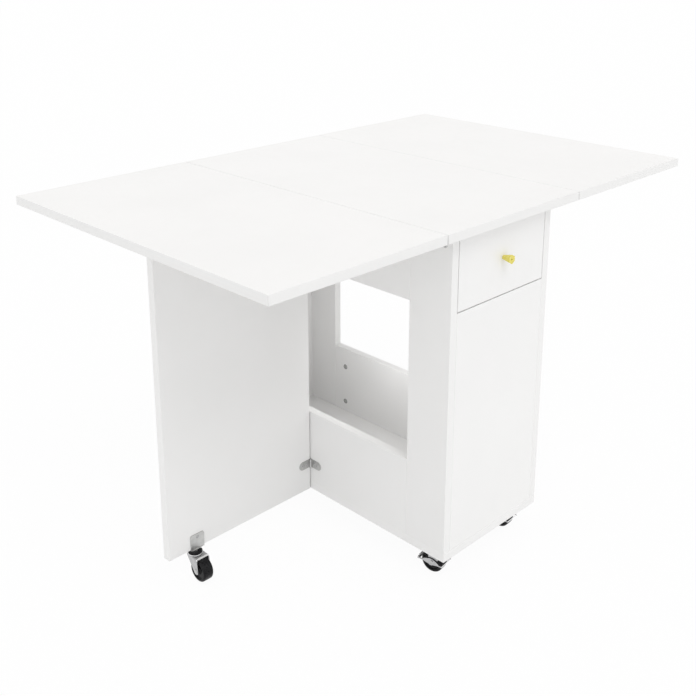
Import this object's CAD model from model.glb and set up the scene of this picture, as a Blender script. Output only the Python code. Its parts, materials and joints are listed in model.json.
import json
import math

import bmesh
import bpy
from mathutils import Matrix, Vector

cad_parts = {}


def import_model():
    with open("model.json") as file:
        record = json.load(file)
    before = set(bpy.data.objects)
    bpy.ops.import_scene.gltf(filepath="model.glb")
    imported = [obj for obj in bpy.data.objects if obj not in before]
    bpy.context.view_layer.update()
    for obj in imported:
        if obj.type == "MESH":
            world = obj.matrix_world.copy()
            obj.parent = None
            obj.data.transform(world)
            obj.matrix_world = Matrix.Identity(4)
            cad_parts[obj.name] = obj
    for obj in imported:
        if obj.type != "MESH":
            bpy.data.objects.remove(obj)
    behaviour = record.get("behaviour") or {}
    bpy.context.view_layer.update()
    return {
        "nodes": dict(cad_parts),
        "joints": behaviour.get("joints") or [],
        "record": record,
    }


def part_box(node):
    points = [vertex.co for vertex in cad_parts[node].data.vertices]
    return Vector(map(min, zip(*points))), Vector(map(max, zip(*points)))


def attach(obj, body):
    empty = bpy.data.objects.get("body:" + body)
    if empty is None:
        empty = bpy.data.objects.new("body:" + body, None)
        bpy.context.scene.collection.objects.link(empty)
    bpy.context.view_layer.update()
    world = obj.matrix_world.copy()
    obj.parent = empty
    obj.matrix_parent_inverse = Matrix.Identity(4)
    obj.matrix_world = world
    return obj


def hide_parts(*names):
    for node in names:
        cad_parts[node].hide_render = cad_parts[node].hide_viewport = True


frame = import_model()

RECORD = frame["record"]
BODY_OF = {node: body for body, nodes in RECORD["behaviour"]["bodies"].items() for node in nodes}
SLOT_OF = {part["node"]: part["material_slot"] for part in RECORD["subparts"]}
JOINTS = {joint["name"]: joint for joint in frame["joints"]}
MM = 0.001

# Camera: an image this many pixels each way, and the place and aim that match the photograph
IMAGE_PX = 696
SENSOR_MM = 36.0
FOCAL_PX = 1001.4
CAMERA_AT = (-1.4583, -1.4009, 1.2577)
CAMERA_AZIMUTH = -44.79
CAMERA_DOWN = 16.18
CAMERA_SHIFT = -0.2
VIEW_DEPTH = 200.0

# Lights: levels are shares of full daylight on a white sheet
SKY_LEVEL = 0.9
# Soft suns: name, level, height above the horizon, azimuth and width in degrees
SUNS = [
    ("key", 0.17, 55, -12, 30),
    ("fill", 0.03, 12, -60, 30),
]
# The soft lamp in the open storage bay: watts, radius, and height as a share of the bay's
BAY_WATTS = 0.7
BAY_RADIUS = 0.1
BAY_HEIGHT = 0.55
FLOOR_SIZE = 60.0
FLOOR_WHITE = 0.88
FLOOR_GLOW = 0.95

# Meshes
MERGE = 2e-6
FLAT_ANGLE = math.radians(1)
SHARP_ANGLE = math.radians(20)
SMOOTH_ANGLE = math.radians(35)
RIM_ANGLE = math.radians(50)
# Sides of a turned shape: the wheels, most round pieces, and small pins
WHEEL_SIDES = 96
ROUND = 64
SMALL_ROUND = 32


def camera():
    """The camera of the photograph."""
    data = bpy.data.cameras.new("camera")
    data.sensor_width = SENSOR_MM
    data.lens = FOCAL_PX / IMAGE_PX * SENSOR_MM
    data.shift_y = CAMERA_SHIFT
    data.clip_end = VIEW_DEPTH
    obj = bpy.data.objects.new("camera", data)
    obj.location = CAMERA_AT
    obj.rotation_euler = (math.radians(90 - CAMERA_DOWN), 0, math.radians(CAMERA_AZIMUTH))
    bpy.context.scene.collection.objects.link(obj)
    bpy.context.scene.camera = obj


# Finishes


class Finish:
    """A procedural material: texture nodes that feed one Principled shader."""

    def __init__(self, name, metallic=0.0, coat=0.0, specular=0.5):
        self.material = bpy.data.materials.new(name)
        self.material.use_nodes = True
        self.tree = self.material.node_tree
        self.shader = self.tree.nodes["Principled BSDF"]
        self.shader.inputs["Metallic"].default_value = metallic
        self.shader.inputs["Coat Weight"].default_value = coat
        self.shader.inputs["Specular IOR Level"].default_value = specular
        self.coordinates = self.tree.nodes.new("ShaderNodeTexCoord").outputs["Object"]
        self.height = None

    def noise(self, scale, detail=2.0, stretch=(1, 1, 1)):
        """Noise with features about 1 / scale metres across, drawn out along the axes."""
        mapping = self.tree.nodes.new("ShaderNodeMapping")
        mapping.inputs["Scale"].default_value = stretch
        texture = self.tree.nodes.new("ShaderNodeTexNoise")
        texture.inputs["Scale"].default_value = scale
        texture.inputs["Detail"].default_value = detail
        self.tree.links.new(self.coordinates, mapping.inputs["Vector"])
        self.tree.links.new(mapping.outputs["Vector"], texture.inputs["Vector"])
        return texture.outputs["Fac"]

    def spread(self, fac, low, high, start=0.35, end=0.65):
        """Maps a texture's middle range to low .. high."""
        node = self.tree.nodes.new("ShaderNodeMapRange")
        node.inputs["From Min"].default_value = start
        node.inputs["From Max"].default_value = end
        node.inputs["To Min"].default_value = low
        node.inputs["To Max"].default_value = high
        self.tree.links.new(fac, node.inputs["Value"])
        return node.outputs["Result"]

    def colour(self, fac, first, second):
        mix = self.tree.nodes.new("ShaderNodeMix")
        mix.data_type = "RGBA"
        mix.inputs["A"].default_value = (*first, 1)
        mix.inputs["B"].default_value = (*second, 1)
        self.tree.links.new(self.spread(fac, 0, 1), mix.inputs["Factor"])
        self.tree.links.new(mix.outputs["Result"], self.shader.inputs["Base Color"])
        return self

    def rough(self, fac, low, high):
        self.tree.links.new(self.spread(fac, low, high), self.shader.inputs["Roughness"])
        return self

    def bump(self, fac, depth, strength=1.0):
        """Relief of that depth in metres. A second call adds to the first."""
        node = self.tree.nodes.new("ShaderNodeBump")
        node.inputs["Distance"].default_value = depth
        node.inputs["Strength"].default_value = strength
        self.tree.links.new(fac, node.inputs["Height"])
        if self.height:
            self.tree.links.new(self.height, node.inputs["Normal"])
        self.height = node.outputs["Normal"]
        self.tree.links.new(self.height, self.shader.inputs["Normal"])
        return self


def laminate(name, light, shade, low_rough, high_rough):
    """White foil on chipboard: faint mottling, and the fine orange peel of pressed foil."""
    finish = Finish(name, specular=0.45)
    finish.colour(finish.noise(scale=5, detail=3), shade, light)
    finish.rough(finish.noise(scale=60, detail=3), low_rough, high_rough)
    finish.bump(finish.noise(scale=350, detail=2), depth=0.00004, strength=0.25)
    finish.bump(finish.noise(scale=2200, detail=1), depth=0.000012, strength=0.3)
    return finish.material


def edge_band(name, light, shade):
    """Plastic edge strip: a little smoother than the foil, with the marks of the trimmer."""
    finish = Finish(name, specular=0.5)
    finish.colour(finish.noise(scale=9, detail=2), shade, light)
    finish.rough(finish.noise(scale=120, detail=2), low=0.28, high=0.4)
    marks = finish.noise(scale=500, detail=1, stretch=(1, 1, 0.2))
    finish.bump(marks, depth=0.00002, strength=0.25)
    return finish.material


def plated_steel(name, light, dark, low_rough, high_rough):
    """Plated sheet steel: soft clouding and a fine rolled grain."""
    finish = Finish(name, metallic=1.0)
    finish.colour(finish.noise(scale=140, detail=4), dark, light)
    finish.rough(finish.noise(scale=400, detail=3), low_rough, high_rough)
    grain = finish.noise(scale=900, detail=2, stretch=(1, 1, 0.15))
    finish.bump(grain, depth=0.00002, strength=0.2)
    return finish.material


def cast_zinc(name, light, dark):
    """Matt cast metal with a sandy skin."""
    finish = Finish(name, metallic=0.8)
    finish.colour(finish.noise(scale=700, detail=3), dark, light)
    finish.rough(finish.noise(scale=900, detail=2), low=0.4, high=0.6)
    finish.bump(finish.noise(scale=1500, detail=3), depth=0.00006, strength=0.4)
    return finish.material


def gilt_metal():
    """Polished yellow gilt with faint buffing marks."""
    finish = Finish("gilt", metallic=0.85, coat=0.3)
    clouds = finish.noise(scale=250, detail=3)
    finish.colour(clouds, (0.77, 0.67, 0.12), (0.84, 0.75, 0.2))
    finish.rough(finish.noise(scale=500, detail=3), low=0.16, high=0.28)
    buffing = finish.noise(scale=1800, detail=1, stretch=(1, 0.1, 1))
    finish.bump(buffing, depth=0.00001, strength=0.2)
    return finish.material


def black_plastic(name, low_rough, high_rough):
    """Moulded black plastic: a soft gloss with a fine mould grain."""
    finish = Finish(name, specular=0.15)
    clouds = finish.noise(scale=90, detail=3)
    finish.colour(clouds, (0.006, 0.006, 0.007), (0.012, 0.012, 0.013))
    finish.rough(finish.noise(scale=300, detail=3), low_rough, high_rough)
    finish.bump(finish.noise(scale=1600, detail=2), depth=0.00002, strength=0.25)
    return finish.material


def beech_wood():
    """Bare beech with its grain along y."""
    finish = Finish("beech", specular=0.3)
    grain = finish.noise(scale=180, detail=4, stretch=(1, 0.08, 1))
    finish.colour(grain, (0.52, 0.36, 0.2), (0.74, 0.57, 0.38))
    finish.rough(finish.noise(scale=400, detail=2), low=0.5, high=0.7)
    pores = finish.noise(scale=900, detail=3, stretch=(1, 0.06, 1))
    finish.bump(pores, depth=0.00005, strength=0.4)
    return finish.material


def liner_foil():
    """Matt pale foil with a fine linen press, on the drawer box."""
    finish = Finish("liner", specular=0.35)
    finish.colour(finish.noise(scale=8, detail=3), (0.76, 0.75, 0.73), (0.81, 0.8, 0.78))
    finish.rough(finish.noise(scale=200, detail=2), low=0.5, high=0.62)
    for thread in ((1, 0.2, 1), (1, 1, 0.2)):
        linen = finish.noise(scale=1200, detail=2, stretch=thread)
        finish.bump(linen, depth=0.00003, strength=0.3)
    return finish.material


TOP_WHITE = laminate("top_laminate", (0.89, 0.882, 0.872), (0.875, 0.868, 0.858), 0.36, 0.46)
TOP_BAND = edge_band("top_band", (0.86, 0.857, 0.85), (0.85, 0.847, 0.84))
BOARD_WHITE = laminate("board_laminate", (0.872, 0.868, 0.862), (0.858, 0.855, 0.848), 0.4, 0.5)
BOARD_BAND = edge_band("board_band", (0.88, 0.877, 0.87), (0.87, 0.867, 0.86))
FRONT_WHITE = laminate("front_laminate", (0.895, 0.892, 0.885), (0.882, 0.879, 0.873), 0.3, 0.4)
ZINC = plated_steel("zinc_steel", (0.58, 0.58, 0.57), (0.52, 0.52, 0.515), 0.34, 0.46)
SCREW_STEEL = plated_steel("screw_steel", (0.52, 0.52, 0.52), (0.42, 0.42, 0.42), 0.25, 0.38)
CHROME = plated_steel("chrome", (0.52, 0.52, 0.525), (0.44, 0.44, 0.445), 0.16, 0.26)
BRIGHT_EDGE = plated_steel("bright_edge", (0.94, 0.94, 0.94), (0.88, 0.88, 0.885), 0.2, 0.3)
CAM_RING = cast_zinc("cam_ring", (0.16, 0.16, 0.16), (0.11, 0.11, 0.11))
CAM_FACE = cast_zinc("cam_face", (0.62, 0.62, 0.61), (0.52, 0.52, 0.51))
GILT = gilt_metal()
BLACK = black_plastic("black_plastic", 0.24, 0.36)
BLACK_RING = black_plastic("black_ring", 0.4, 0.55)
BEECH = beech_wood()
LINER = liner_foil()


# Mesh helpers


def cad_copy(node):
    """A bmesh of a CAD node, with shared corners merged and flat faces joined."""
    bm = bmesh.new()
    bm.from_mesh(frame["nodes"][node].data)
    bmesh.ops.remove_doubles(bm, verts=bm.verts, dist=MERGE)
    bmesh.ops.dissolve_limit(bm, angle_limit=FLAT_ANGLE, verts=bm.verts, edges=bm.edges)
    for face in bm.faces:
        face.material_index = 0
    return bm


def islands(bm):
    """The separate solids of a bmesh, each as a list of vertices."""
    seen = set()
    found = []
    for start in bm.verts:
        if start in seen:
            continue
        seen.add(start)
        island = [start]
        for vert in island:
            for edge in vert.link_edges:
                other = edge.other_vert(vert)
                if other not in seen:
                    seen.add(other)
                    island.append(other)
        found.append(island)
    return found


def extent(verts):
    """Lowest and highest corner of some vertices."""
    points = [v.co for v in verts]
    return (
        Vector([min(p[i] for p in points) for i in range(3)]),
        Vector([max(p[i] for p in points) for i in range(3)]),
    )


def soften(bm, radius, shortest, segments=2):
    """Rounds the edges that are sharp, and long enough not to be a facet of something round."""
    edges = [
        e for e in bm.edges
        if len(e.link_faces) == 2
        and e.calc_face_angle(0) > SHARP_ANGLE
        and e.calc_length() > shortest
    ]
    bmesh.ops.bevel(
        bm, geom=edges, offset=radius, segments=segments, profile=0.5,
        affect="EDGES", clamp_overlap=True, loop_slide=True, material=-1,
    )


def piece(bm, name, body, finishes, replaced=()):
    """Makes a bmesh into a piece of the object that rides on a body."""
    bmesh.ops.recalc_face_normals(bm, faces=bm.faces)
    mesh = bpy.data.meshes.new(name)
    bm.to_mesh(mesh)
    bm.free()
    for finish in finishes:
        mesh.materials.append(finish)
    mesh.shade_smooth()
    mesh.set_sharp_from_angle(angle=SMOOTH_ANGLE)
    obj = bpy.data.objects.new(name, mesh)
    bpy.context.scene.collection.objects.link(obj)
    even = obj.modifiers.new("even_shading", "WEIGHTED_NORMAL")
    even.keep_sharp = True
    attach(obj, body)
    if replaced:
        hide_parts(*replaced)
    return obj


def stand_in(bm, name, node, finishes):
    """A piece that stands for one CAD node, on its body and with its slot."""
    return piece(bm, name, BODY_OF[node], finishes, [node])


def lathe(bm, profile, place, segments=ROUND, finish=0, closed=False):
    """Turns (along, radius) points round the x axis of place. A radius of 0 is a pole."""
    rings = []
    for along, radius in profile:
        steps = segments if radius else 1
        angles = [2 * math.pi * i / steps for i in range(steps)]
        ring = [(along, radius * math.cos(a), radius * math.sin(a)) for a in angles]
        rings.append([bm.verts.new(place @ Vector(p)) for p in ring])
    following = rings[1:] + rings[:1] if closed else rings[1:]
    for lower, upper in zip(rings, following):
        for i in range(segments):
            j = (i + 1) % segments
            corners = [
                lower[i % len(lower)], lower[j % len(lower)],
                upper[j % len(upper)], upper[i % len(upper)],
            ]
            corners = list(dict.fromkeys(corners))
            if len(corners) > 2:
                bm.faces.new(corners).material_index = finish


def rounded(points, radius, steps=4, closed=False):
    """A line of 2-D points with its corners rounded."""
    out = []
    count = len(points)
    for i, point in enumerate(points):
        here = Vector(point)
        if not closed and i in (0, count - 1):
            out.append(tuple(here))
            continue
        before = Vector(points[i - 1]) - here
        after = Vector(points[(i + 1) % count]) - here
        reach = min(radius, before.length * 0.45, after.length * 0.45)
        start = here + before.normalized() * reach
        end = here + after.normalized() * reach
        for k in range(steps + 1):
            t = k / steps
            out.append(tuple(start * (1 - t) ** 2 + here * 2 * t * (1 - t) + end * t * t))
    return out


def facing(at, axis):
    """A place at a point whose x axis looks along an axis."""
    turn = Vector((1, 0, 0)).rotation_difference(Vector(axis)).to_matrix().to_4x4()
    return Matrix.Translation(at) @ turn


# Screw heads and cam locks


def cross_disc(bm, place, radius, dome, cross_w, cross_l, depth, finish=0, rings=9):
    """A domed disc that faces +x with a cross recess in its middle. Its rim is at x = 0."""
    rows = []
    for i in range(rings + 1):
        share = i / rings
        r = radius * share
        row = []
        for k in range(ROUND if i else 1):
            a = 2 * math.pi * k / ROUND
            y, z = r * math.cos(a), r * math.sin(a)
            x = dome * (1 - share ** 2)
            if min(abs(y), abs(z)) < cross_w / 2 and max(abs(y), abs(z)) < cross_l / 2:
                x -= depth * (1 - 0.5 * r / (cross_l / 2))
            row.append(bm.verts.new(place @ Vector((x, y, z))))
        rows.append(row)
    for inner, outer in zip(rows, rows[1:]):
        for k in range(ROUND):
            j = (k + 1) % ROUND
            corners = [inner[k % len(inner)], outer[k], outer[j], inner[j % len(inner)]]
            bm.faces.new(list(dict.fromkeys(corners))).material_index = finish
    return rows[-1]


def screw(bm, place, head_r, head_h, shank_r, length, finish):
    """A pan head screw: its head stands on x = 0, and its shank runs towards -x."""
    dome = head_h * 0.55
    crown_r = head_r * 0.9
    cross_disc(
        bm, place @ Matrix.Translation((head_h - dome, 0, 0)), crown_r, dome,
        cross_w=0.9 * MM, cross_l=3.6 * MM, depth=0.8 * MM, finish=finish,
    )
    profile = rounded(
        [
            (head_h - dome, crown_r), (head_h * 0.2, head_r), (0, head_r),
            (0, shank_r), (-length + shank_r, shank_r), (-length, 0),
        ],
        0.15 * MM, 2,
    )
    lathe(bm, profile, place, ROUND, finish)
    bmesh.ops.remove_doubles(bm, verts=bm.verts, dist=MERGE)


SCREW_LONG = 14.4 * MM
SCREW_HEAD_R = 3.4 * MM
SCREW_HEAD_H = 1.4 * MM
SCREW_SHANK_R = 1.75 * MM
RING_BORE = 4.2 * MM
# A swivel ring's face in the frame is this high and at least this wide
RING_LOW_H = 1 * MM
RING_HIGH_H = 3 * MM
RING_LEAST_D = 20 * MM
# Thickness of the steel that lies on a ring
EDGE_T = 2.2 * MM
# How closely a measure has to fit
NEAR = 0.15 * MM
# Places in a steel piece's list of finishes. The steel itself is 0.
SCREW, RING, EDGE = 1, 2, 3


def smooth_faces(node):
    """The extents of a node's CAD faces. Its mesh is split where they meet."""
    bm = bmesh.new()
    bm.from_mesh(frame["nodes"][node].data)
    found = [extent(island) for island in islands(bm)]
    bm.free()
    return found


def screw_places(node):
    """The seat of each screw of a node: under a head's rim, on the side of its shank."""
    faces = smooth_faces(node)
    places = {}
    for low, high in faces:
        size, middle = high - low, (low + high) / 2
        axis = min(range(3), key=lambda i: size[i])
        across = [i for i in range(3) if i != axis]
        if abs(size[axis] - SCREW_HEAD_H) > NEAR:
            continue
        if max(abs(size[i] / 2 - SCREW_HEAD_R) for i in across) > NEAR:
            continue
        for shank_low, shank_high in faces:
            size = shank_high - shank_low
            offset = (shank_low + shank_high) / 2 - middle
            if max(abs(size[i] / 2 - SCREW_SHANK_R) for i in across) > NEAR:
                continue
            if max(abs(offset[i]) for i in across) > NEAR:
                continue
            if SCREW_HEAD_H < abs(offset[axis]) < SCREW_LONG:
                way = Vector((0, 0, 0))
                way[axis] = -1 if offset[axis] > 0 else 1
                seat = middle - way * SCREW_HEAD_H / 2
                places[tuple(round(c, 5) for c in seat)] = facing(seat, way)
    return list(places.values())


def ring_places(node):
    """The foot, height and radius of each black swivel ring of a node."""
    found = []
    for low, high in smooth_faces(node):
        size = high - low
        is_round = abs(size.x - size.y) < NEAR and size.x > RING_LEAST_D
        if is_round and RING_LOW_H < size.z < RING_HIGH_H:
            at = ((low.x + high.x) / 2, (low.y + high.y) / 2, low.z)
            found.append((facing(at, (0, 0, 1)), size.z, size.x / 2))
    return found


def faces_in(bm, place, low, high, radius):
    """The faces of a bmesh inside a cylinder round the x axis of place, from low to high."""
    back = place.inverted()
    found = []
    for face in bm.faces:
        points = [back @ v.co for v in face.verts]
        if all(low < p.x < high and math.hypot(p.y, p.z) < radius for p in points):
            found.append(face)
    return found


def take_out(bm, place, low, high, radius):
    """Deletes what is inside a cylinder, and closes the surfaces that it lay on."""
    bmesh.ops.delete(bm, geom=faces_in(bm, place, low, high, radius), context="FACES")
    bmesh.ops.holes_fill(bm, edges=[e for e in bm.edges if e.is_boundary])


def steel_with_screws(node, name, finish, radius, shortest):
    """A softened copy of a steel node, with cross-head screws and black swivel rings."""
    bm = cad_copy(node)
    screws = screw_places(node)
    rings = ring_places(node)
    for place in screws:
        tip = SCREW_HEAD_H - SCREW_LONG - NEAR
        take_out(bm, place, tip, SCREW_HEAD_H + NEAR, SCREW_HEAD_R + NEAR)
    for place, height, ring_r in rings:
        take_out(bm, place, -NEAR, height + NEAR, ring_r + NEAR)
        # The edge of the steel that lies on the ring
        for face in bm.faces:
            above = face.calc_center_median().z - place.translation.z - height
            if NEAR < above < EDGE_T - NEAR and abs(face.normal.z) < 0.5:
                face.material_index = EDGE
    soften(bm, radius, shortest)
    for place in screws:
        screw(
            bm, place, SCREW_HEAD_R, SCREW_HEAD_H, SCREW_SHANK_R,
            SCREW_LONG - SCREW_HEAD_H, SCREW,
        )
    for place, height, ring_r in rings:
        profile = rounded(
            [(0, RING_BORE), (0, ring_r), (height, ring_r), (height, RING_BORE)],
            0.5 * MM, 3, closed=True,
        )
        lathe(bm, profile, place, ROUND, RING, closed=True)
    obj = stand_in(bm, name, node, [finish, SCREW_STEEL, BLACK_RING, BRIGHT_EDGE])
    crease_between_finishes(obj.data)


def crease_between_finishes(mesh):
    """Keeps the shading sharp where two finishes meet."""
    finishes = {}
    for polygon in mesh.polygons:
        for key in polygon.edge_keys:
            finishes.setdefault(key, set()).add(polygon.material_index)
    for edge in mesh.edges:
        if len(finishes.get(edge.key, ())) > 1:
            edge.use_edge_sharp = True


def cam_locks():
    """Cast cam locks: a dark rim round a pale face with a cross recess."""
    bm = cad_copy("cam_locks")
    places = []
    for island in islands(bm):
        low, high = extent(island)
        middle = (low + high) / 2
        inward = -1 if middle.x > 0 else 1
        face_x = low.x if middle.x > 0 else high.x
        places.append(((face_x, middle.y, middle.z), inward, (high.y - low.y) / 2, high.x - low.x))
    bm.free()
    bm = bmesh.new()
    rim, recess = 1.1 * MM, 0.35 * MM
    for at, inward, radius, deep in places:
        place = facing(at, (inward, 0, 0))
        sunk = Matrix.Translation((-recess, 0, 0))
        cross_disc(
            bm, place @ sunk, radius - rim, dome=0,
            cross_w=1.4 * MM, cross_l=6.4 * MM, depth=1.2 * MM, finish=1,
        )
        profile = rounded(
            [(-recess, radius - rim), (0, radius - rim), (0, radius), (-deep, radius), (-deep, 0)],
            0.2 * MM, 2,
        )
        lathe(bm, profile, place, ROUND, 0)
    bmesh.ops.remove_doubles(bm, verts=bm.verts, dist=MERGE)
    stand_in(bm, "cam_lock_set", "cam_locks", [CAM_RING, CAM_FACE])


# Boards


def board(node, face, band, radius=0.3 * MM):
    """A laminated board: foil on its faces, and an edge strip round them."""
    bm = cad_copy(node)
    low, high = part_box(node)
    thin = min(range(3), key=lambda i: high[i] - low[i])
    for f in bm.faces:
        f.material_index = 0 if abs(f.normal[thin]) > 0.9 else 1
    soften(bm, radius, 0.95 * MM)
    stand_in(bm, node + "_panel", node, [face, band])


# Knob


# Its end face is narrower than the flare, and stands this far behind the corners
KNOB_DISH = 0.7 * MM
KNOB_FACE = 0.62
KNOB_EASE = 0.55 * MM
KNOB_LEAST_EDGE = 3 * MM


def knob():
    """A six-sided flared knob with rounded arrises, a dished end and a dark hole."""
    low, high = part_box("drawer_knob")
    centre = Vector(((low.x + high.x) / 2, high.y, (low.z + high.z) / 2))
    length = high.y - low.y
    end_r = max(high.x - low.x, high.z - low.z) / 2
    points = [v.co for v in frame["nodes"]["drawer_knob"].data.vertices]
    seat = [p - centre for p in points if p.y > high.y - NEAR]
    base_r = max(math.hypot(p.x, p.z) for p in seat)
    first = math.pi / 2 if high.z - low.z > high.x - low.x else 0
    bm = bmesh.new()
    # (distance from the drawer front, radius over the corners)
    stations = [(0, base_r), (length, end_r), (length - KNOB_DISH, end_r * KNOB_FACE)]
    rings = []
    for along, radius in stations:
        ring = []
        for k in range(6):
            a = first + math.pi / 3 * k
            at = centre + Vector((radius * math.cos(a), -along, radius * math.sin(a)))
            ring.append(bm.verts.new(at))
        rings.append(ring)
    for lower, upper in zip(rings, rings[1:]):
        for k in range(6):
            j = (k + 1) % 6
            bm.faces.new([lower[k], lower[j], upper[j], upper[k]])
    bm.faces.new(rings[0])
    bm.faces.new(rings[-1])
    edges = [e for e in bm.edges if e.calc_length() > KNOB_LEAST_EDGE]
    bmesh.ops.bevel(
        bm, geom=edges, offset=KNOB_EASE, segments=3, profile=0.6,
        affect="EDGES", clamp_overlap=True,
    )
    place = facing(centre + Vector((0, -length + KNOB_DISH, 0)), (0, -1, 0))
    lip = rounded([(0.4 * MM, 2 * MM), (0.4 * MM, 1.4 * MM), (0.1 * MM, 1.2 * MM)], 0.2 * MM)
    lathe(bm, [(-0.1 * MM, 2.1 * MM)] + lip, place, SMALL_ROUND, 0)
    lathe(bm, [(0.1 * MM, 1.2 * MM), (0.06 * MM, 0)], place, SMALL_ROUND, 1)
    bmesh.ops.remove_doubles(bm, verts=bm.verts, dist=MERGE)
    stand_in(bm, "knob", "drawer_knob", [GILT, BLACK])


# Casters


CASTER_NAMES = [name[: -len("_swivel")] for name in JOINTS if name.endswith("_swivel")]


def caster_place(name):
    """The frame of a caster: its swivel axis is z, and its wheel trails towards -y."""
    swivel = Vector(JOINTS[name + "_swivel"]["pos_m"])
    spin = JOINTS[name + "_wheel_spin"]
    side = Vector(spin["axis"]).normalized()
    up = Vector((0, 0, 1))
    ahead = up.cross(side)
    place = Matrix((
        (side.x, ahead.x, up.x, swivel.x),
        (side.y, ahead.y, up.y, swivel.y),
        (side.z, ahead.z, up.z, 0),
        (0, 0, 0, 1),
    ))
    return place, place.inverted() @ Vector(spin["pos_m"])


def local_points(node, place):
    """A CAD node's corners in another frame."""
    back = place.inverted()
    return [back @ v.co for v in frame["nodes"][node].data.vertices]


def local_box(node, place):
    """A CAD node's box in another frame."""
    points = local_points(node, place)
    return (
        Vector([min(p[i] for p in points) for i in range(3)]),
        Vector([max(p[i] for p in points) for i in range(3)]),
    )


def wheel(name, place, hub):
    """A moulded wheel: crowned tread, rounded shoulders, dished sides and a raised hub."""
    node = name + "_wheel"
    low, high = local_box(node, place)
    half = (high.x - low.x) / 2
    radius = (high.z - low.z) / 2
    # Half the section, from the middle of the tread to the bore: (distance sideways, radius)
    side = [
        (0, radius), (half - 2.4 * MM, radius - 0.25 * MM), (half - 0.3 * MM, radius - 2.4 * MM),
        (half, radius - 5.4 * MM), (half - 0.8 * MM, radius - 6 * MM),
        (half - 3.2 * MM, radius - 6.8 * MM), (half - 3.2 * MM, 8.8 * MM),
        (half - 0.4 * MM, 7.4 * MM), (half, 6.8 * MM), (half, WHEEL_BORE),
    ]
    side = rounded(side, 1.2 * MM, 4)
    profile = [(-x, r) for x, r in reversed(side)] + side[1:]
    bm = bmesh.new()
    lathe(bm, profile, place @ Matrix.Translation(hub), WHEEL_SIDES, 0, closed=True)
    stand_in(bm, node + "_moulding", node, [BLACK])


# Raceway on the fork's head: radius, how far it stands above the head, and thickness
COLLAR_R = 15 * MM
COLLAR_H = 1.1 * MM
COLLAR_T = 1.6 * MM
# Fork: how far its head reaches in front of the swivel, its sheet, and its bend
FORK_FRONT = 25 * MM
FORK_T = 2 * MM
FORK_EASE = 0.5 * MM
BEND_R = 3 * MM
# The head's ends roll down by this height over this width, and the front one is bright
ROLL_H = 1.3 * MM
ROLL_W = 3 * MM
# Rows of the fork's mesh on a leg's tip, a leg, a bend and half the head, and its columns
TIP_ROWS = 6
LEG_ROWS = 7
BEND_ROWS = 4
HEAD_ROWS = 16
FORK_COLUMNS = 24
# A leg is measured over this height from its tip
LEG_FOOT = 6 * MM
# Brake: its rivets, and how far behind the hub its pedal starts
PIN_R = 1.6 * MM
PIN_HEAD_T = 1 * MM
PEDAL_FROM = 25 * MM
# The wheel's bore, and the axle's shaft, heads and domes
WHEEL_BORE = 3.05 * MM
AXLE_R = 3 * MM
AXLE_HEAD_T = 1.6 * MM
AXLE_DOME = 0.9 * MM
DOME_STEPS = 6


def tangent(point, centre, radius, turn):
    """Where the line from a point touches a circle, on the side that turn gives."""
    away = Vector(centre) - Vector(point)
    angle = math.atan2(away.y, away.x) + turn * math.asin(radius / away.length)
    reach = math.sqrt(away.length ** 2 - radius ** 2)
    return Vector(point) + reach * Vector((math.cos(angle), math.sin(angle)))


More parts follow.
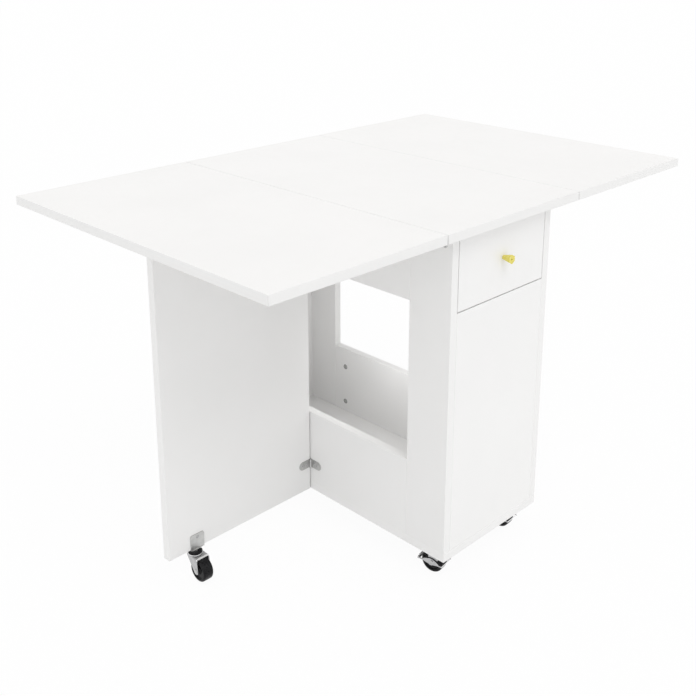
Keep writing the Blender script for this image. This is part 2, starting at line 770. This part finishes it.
def fork(name, place, hub):
    """A pressed fork: one bent sheet with tapered legs, round tips and a raised raceway."""
    node = name + "_fork"
    low, high = local_box(node, place)
    tip_r = hub.z - low.z
    tip = (hub.y, hub.z)
    top_z = high.z
    rear = high.y
    outer_x = leg_outer_x(node, place)
    ends = []
    for corner, turn in (((-FORK_FRONT, top_z), -1), ((rear, top_z), 1)):
        ends.append((Vector(corner), tangent(corner, tip, tip_r, turn)))

    def span(z):
        """The leg's front and rear edge at a height."""
        out = []
        for sign, (corner, touch) in zip((-1, 1), ends):
            if z < touch.y:
                half = math.sqrt(max(0, tip_r ** 2 - (z - tip[1]) ** 2))
                out.append(tip[0] + sign * half)
            else:
                share = (z - touch.y) / (corner.y - touch.y)
                out.append(touch.x + (corner.x - touch.x) * share)
        return out

    # Rows of the middle surface, from one tip over the head to the other: (x, z, on the head)
    mid = outer_x - FORK_T / 2
    head_z = top_z - FORK_T / 2
    rows = []
    for i in range(1, TIP_ROWS + 1):
        rows.append((-mid, tip[1] - tip_r * math.cos(math.pi / 2 * i / TIP_ROWS), 0))
    for i in range(1, LEG_ROWS + 1):
        z = tip[1] + (head_z - BEND_R - tip[1]) * i / LEG_ROWS
        rows.append((-mid, z, 0))
    for i in range(1, BEND_ROWS + 1):
        a = math.pi / 2 * i / BEND_ROWS
        x = -mid + BEND_R * (1 - math.cos(a))
        rows.append((x, head_z - BEND_R + BEND_R * math.sin(a), math.sin(a) ** 4))
    inner = mid - BEND_R
    for i in range(1, HEAD_ROWS + 1):
        rows.append((-inner + inner * i / HEAD_ROWS, head_z, 1))
    rows = rows + [(-x, z, flat) for x, z, flat in reversed(rows[:-1])]
    bm = bmesh.new()
    grid = []
    for x, z, flat in rows:
        front, back = span(z)
        line = []
        for j in range(FORK_COLUMNS + 1):
            y = front + (back - front) * j / FORK_COLUMNS
            # The head lies below its raceway, and its ends roll down
            edge = min(abs(y - front), abs(back - y))
            roll = ROLL_H * max(0, 1 - edge / ROLL_W) ** 2
            height = z - flat * (COLLAR_H + roll)
            line.append(bm.verts.new(place @ Vector((x, y, height))))
        grid.append(line)
    to_local = place.inverted()
    for lower, upper in zip(grid, grid[1:]):
        for j in range(FORK_COLUMNS):
            face = bm.faces.new([lower[j], lower[j + 1], upper[j + 1], upper[j]])
            at = to_local @ face.calc_center_median()
            if at.z > head_z - BEND_R and at.y < ROLL_W - FORK_FRONT:
                face.material_index = 1
    obj = stand_in(bm, node + "_pressing", node, [CHROME, BRIGHT_EDGE])
    sheet = obj.modifiers.new("sheet", "SOLIDIFY")
    sheet.thickness = FORK_T
    sheet.offset = 0
    rim = obj.modifiers.new("rim", "BEVEL")
    rim.width = FORK_EASE
    rim.segments = 2
    rim.limit_method = "ANGLE"
    rim.angle_limit = RIM_ANGLE
    # The even shading of piece() comes last
    obj.modifiers.move(0, 2)
    raceway(name, node, place @ facing((0, 0, top_z), (0, 0, 1)))


def raceway(name, node, place):
    """The bright raised ring of a fork's head, whose top is at x = 0 of place."""
    bm = bmesh.new()
    profile = rounded(
        [(-COLLAR_T, RING_BORE), (0, RING_BORE), (0, COLLAR_R), (-COLLAR_T, COLLAR_R)],
        0.5 * MM, 3, closed=True,
    )
    lathe(bm, profile, place, ROUND, 0, closed=True)
    piece(bm, name + "_raceway", BODY_OF[node], [BRIGHT_EDGE], [node])


def leg_outer_x(node, place):
    """How far a fork's legs reach to the side, measured at their tips."""
    points = local_points(node, place)
    low = min(p.z for p in points)
    return max(abs(p.x) for p in points if p.z < low + LEG_FOOT)


def brake(name, place, hub):
    """A pressed brake strap with bright edges, and the rivets in the fork that it turns on."""
    node = name + "_brake"
    side = place.to_3x3() @ Vector((1, 0, 0))
    back = place.inverted()
    bm = cad_copy(node)
    for face in bm.faces:
        flat = abs(face.normal.dot(side)) > 0.9
        behind = (back @ face.calc_center_median()).y < hub.y - PEDAL_FROM
        face.material_index = 0 if flat or behind else 1
    soften(bm, 0.4 * MM, 0.9 * MM)
    stand_in(bm, node + "_strap", node, [CHROME, BRIGHT_EDGE])
    fork_node = name + "_fork"
    outer = local_box(fork_node, place)[1].x
    inner = leg_outer_x(fork_node, place)
    pin = back @ Vector(JOINTS[node + "_press"]["pos_m"])
    bm = bmesh.new()
    for way in (1, -1):
        profile = rounded(
            [
                (way * inner, 0), (way * inner, PIN_R), (way * (outer - PIN_HEAD_T), PIN_R),
                (way * (outer - PIN_HEAD_T), PIN_R + PIN_HEAD_T), (way * outer, PIN_R + PIN_HEAD_T),
                (way * outer, 0),
            ],
            0.35 * MM, 2,
        )
        lathe(bm, profile, place @ Matrix.Translation((0, pin.y, pin.z)), SMALL_ROUND)
    piece(bm, name + "_brake_rivets", BODY_OF[fork_node], [ZINC], [fork_node])


def axle(name, place, hub):
    """A riveted axle: a shaft with a domed head at each end."""
    node = name + "_axle"
    low, high = local_box(node, place)
    half = high.x
    head_r = (high.z - low.z) / 2
    end = [
        (half - AXLE_HEAD_T, AXLE_R), (half - AXLE_HEAD_T, head_r), (half - AXLE_DOME, head_r),
    ]
    dome = [
        (half - AXLE_DOME * (1 - math.sin(a)), head_r * math.cos(a))
        for a in [math.pi / 2 * i / DOME_STEPS for i in range(1, DOME_STEPS)]
    ]
    side = end + dome + [(half, 0)]
    profile = [(-x, r) for x, r in reversed(side)] + side
    bm = bmesh.new()
    lathe(bm, profile, place @ Matrix.Translation(hub), SMALL_ROUND)
    stand_in(bm, node + "_rivet", node, [ZINC])


def casters():
    """The moving parts of all six casters."""
    for name in CASTER_NAMES:
        place, hub = caster_place(name)
        wheel(name, place, hub)
        fork(name, place, hub)
        axle(name, place, hub)
        if name + "_brake" in frame["nodes"]:
            brake(name, place, hub)


# Assembly


def dress():
    """Gives every node of the frame its piece or its finish."""
    for node in ("center_top", "leaf_left", "leaf_right"):
        board(node, TOP_WHITE, TOP_BAND)
    for node, slot in SLOT_OF.items():
        if slot == "white_board":
            board(node, BOARD_WHITE, BOARD_BAND)
        if slot == "white_front":
            board(node, FRONT_WHITE, BOARD_BAND)
        if slot == "drawer_liner":
            board(node, LINER, LINER, 0.25 * MM)
    for node in frame["nodes"]:
        if "hinge" in node and "wings" in node:
            steel_with_screws(node, node + "_plates", ZINC, 0.2 * MM, 0.9 * MM)
    for side in ("left", "right"):
        node = f"gate_{side}_bracket"
        steel_with_screws(node, node + "_plate", ZINC, 0.4 * MM, 1.0 * MM)
    steel_with_screws("cabinet_screws", "cabinet_screw_set", ZINC, 0.1 * MM, 1 * MM)
    steel_with_screws("caster_plates", "caster_plate_set", ZINC, 0.4 * MM, 1.0 * MM)
    for node in ("top_brackets", "drawer_runners", "drawer_slides"):
        bm = cad_copy(node)
        soften(bm, 0.25 * MM, 1 * MM)
        stand_in(bm, node + "_steel", node, [ZINC])
    cam_locks()
    knob()
    casters()
    for node, finish in (("cam_bolts", ZINC), ("hinge_pins", ZINC), ("wood_dowels", BEECH)):
        obj = frame["nodes"][node]
        obj.data.materials.clear()
        obj.data.materials.append(finish)


# Stage and light


def camera_rays(tree):
    """1 for rays that show the background: from the camera, and in gloss or glass."""
    path = tree.nodes.new("ShaderNodeLightPath")
    total = path.outputs["Is Camera Ray"]
    for name in ("Is Glossy Ray", "Is Transmission Ray"):
        highest = tree.nodes.new("ShaderNodeMath")
        highest.operation = "MAXIMUM"
        tree.links.new(total, highest.inputs[0])
        tree.links.new(path.outputs[name], highest.inputs[1])
        total = highest.outputs[0]
    return total


def world():
    """A plain sky that lights the object, and is white behind it."""
    scene_world = bpy.data.worlds.new("world")
    bpy.context.scene.world = scene_world
    scene_world.use_nodes = True
    tree = scene_world.node_tree
    background = tree.nodes["Background"]
    background.inputs["Color"].default_value = (1, 1, 1, 1)
    strength = tree.nodes.new("ShaderNodeMapRange")
    strength.inputs["To Min"].default_value = SKY_LEVEL
    strength.inputs["To Max"].default_value = 1
    tree.links.new(camera_rays(tree), strength.inputs["Value"])
    tree.links.new(strength.outputs["Result"], background.inputs["Strength"])


def floor():
    """A pale matt floor that glows for the rays that show the background."""
    material = bpy.data.materials.new("floor")
    material.use_nodes = True
    tree = material.node_tree
    tree.nodes.remove(tree.nodes["Principled BSDF"])
    matt = tree.nodes.new("ShaderNodeBsdfDiffuse")
    matt.inputs["Color"].default_value = (FLOOR_WHITE, FLOOR_WHITE, FLOOR_WHITE, 1)
    glow = tree.nodes.new("ShaderNodeEmission")
    share = tree.nodes.new("ShaderNodeMath")
    share.operation = "MULTIPLY"
    share.inputs[1].default_value = FLOOR_GLOW
    tree.links.new(camera_rays(tree), share.inputs[0])
    mix = tree.nodes.new("ShaderNodeMixShader")
    tree.links.new(share.outputs[0], mix.inputs["Fac"])
    tree.links.new(matt.outputs[0], mix.inputs[1])
    tree.links.new(glow.outputs[0], mix.inputs[2])
    tree.links.new(mix.outputs[0], tree.nodes["Material Output"].inputs["Surface"])
    bm = bmesh.new()
    bmesh.ops.create_grid(bm, x_segments=4, y_segments=4, size=FLOOR_SIZE / 2)
    mesh = bpy.data.meshes.new("floor")
    bm.to_mesh(mesh)
    bm.free()
    mesh.materials.append(material)
    obj = bpy.data.objects.new("floor", mesh)
    bpy.context.scene.collection.objects.link(obj)


def suns():
    """The soft suns of the list above."""
    for name, level, height, azimuth, width in SUNS:
        data = bpy.data.lights.new(name, "SUN")
        data.energy = level * math.pi
        data.angle = math.radians(width)
        obj = bpy.data.objects.new(name, data)
        obj.rotation_euler = (math.radians(90 - height), 0, math.radians(azimuth))
        bpy.context.scene.collection.objects.link(obj)


def bay_lamp():
    """Fills the white bay, whose walls hand light on more often than a render follows it."""
    openings = {opening["name"]: opening["box_m"] for opening in RECORD["physics"]["openings"]}
    low, high = openings["storage_bay"]
    data = bpy.data.lights.new("bay", "POINT")
    data.energy = BAY_WATTS
    data.shadow_soft_size = BAY_RADIUS
    obj = bpy.data.objects.new("bay", data)
    height = low[2] + (high[2] - low[2]) * BAY_HEIGHT
    obj.location = ((low[0] + high[0]) / 2, (low[1] + high[1]) / 2, height)
    obj.visible_camera = False
    obj.visible_glossy = False
    bpy.context.scene.collection.objects.link(obj)


camera()
dress()
world()
floor()
suns()
bay_lamp()
bpy.context.scene.view_settings.view_transform = "Standard"
